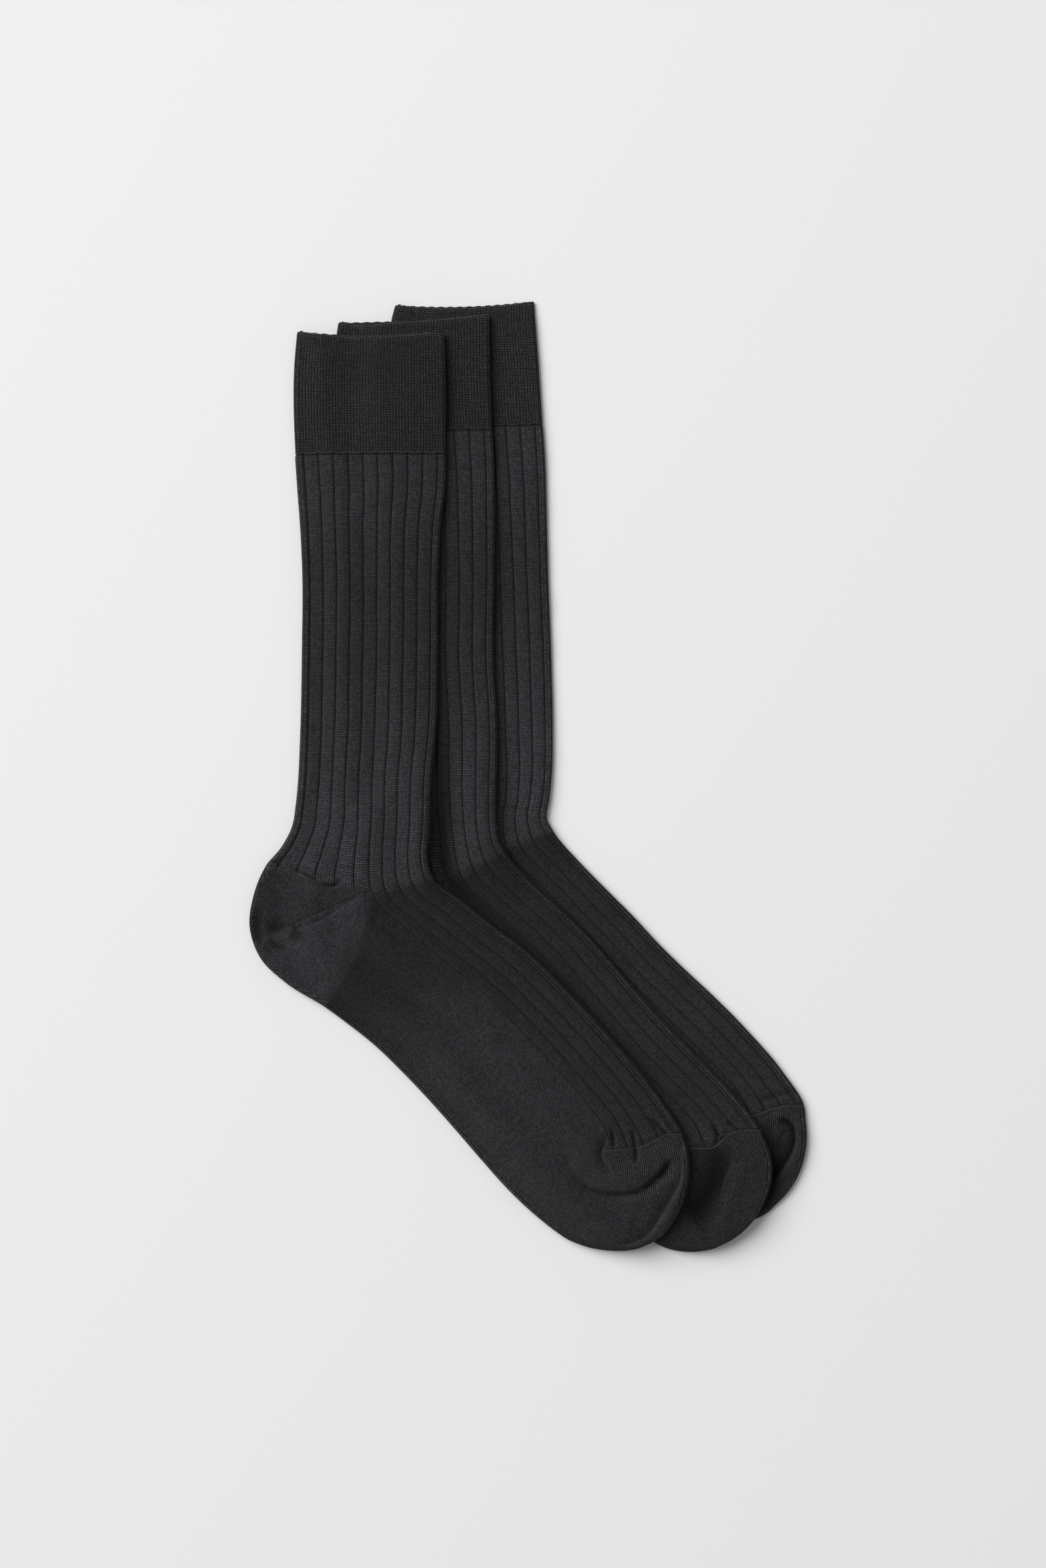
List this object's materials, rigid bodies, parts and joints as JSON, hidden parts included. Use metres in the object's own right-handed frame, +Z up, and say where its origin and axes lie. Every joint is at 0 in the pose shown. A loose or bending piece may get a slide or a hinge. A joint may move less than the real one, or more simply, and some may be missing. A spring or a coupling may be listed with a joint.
{
  "type": "fanned set of ribbed dress socks",
  "caption": "Fine-knit charcoal dress socks laid flat and fanned on each other, with ribbed leg and instep, welt, heel pocket and toe cap",
  "frame": {"origin": "on the surface the socks lie on, below the middle of the fan's bounding box", "axes": "+X across the fan from the heels' side to the toes' side, +Y up the legs to the welts, +Z up out of the surface"},
  "size_m": [0.273, 0.4666, 0.0189],
  "materials": {
    "welt_knit": "fine 1x1 rib in matt charcoal yarn",
    "leg_knit": "wide 7x1 rib in matt charcoal yarn with a soft nap",
    "heel_knit": "plain knit in matt charcoal yarn, reinforced",
    "foot_knit": "plain knit sole and wide-rib instep in matt charcoal yarn",
    "toe_knit": "plain knit in matt charcoal yarn, reinforced"
  },
  "bodies": {
    "root": {"back_cuff": "welt_knit", "back_leg": "leg_knit", "back_heel": "heel_knit", "back_foot": "foot_knit", "back_toe": "toe_knit", "middle_cuff": "welt_knit", "middle_leg": "leg_knit", "middle_heel": "heel_knit", "middle_foot": "foot_knit", "middle_toe": "toe_knit", "front_cuff": "welt_knit", "front_leg": "leg_knit", "front_heel": "heel_knit", "front_foot": "foot_knit", "front_toe": "toe_knit"}
  },
  "joints": []
}
